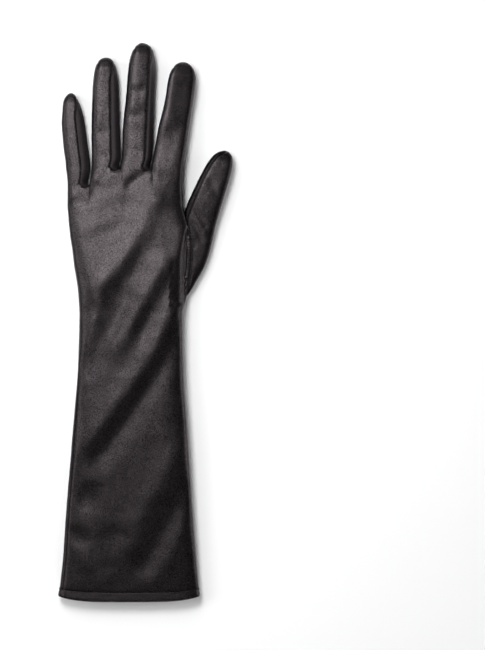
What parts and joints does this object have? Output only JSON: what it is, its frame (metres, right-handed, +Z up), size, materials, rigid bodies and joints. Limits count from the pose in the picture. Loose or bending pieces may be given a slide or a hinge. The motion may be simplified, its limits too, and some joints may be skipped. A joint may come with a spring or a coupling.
{
  "type": "long satin dress glove",
  "caption": "A long, slim dress glove of black stretch satin for the left hand, with side strips between the fingers, a set-in thumb and a turned hem, lying flat on its palm.",
  "frame": {"origin": "bottom centre of the box around the glove, on the surface it lies on", "axes": "+Y runs from the hem to the fingertips, +Z is up from the palm side to the back of the hand, +X is the thumb side"},
  "size_m": [0.119, 0.3814, 0.0198],
  "materials": {
    "satin": "black stretch satin with a soft sheen"
  },
  "bodies": {
    "root": {"trank": "satin", "fourchette_little_ring": "satin", "fourchette_ring_middle": "satin", "fourchette_middle_index": "satin", "thumb": "satin", "hem": "satin"}
  },
  "joints": []
}
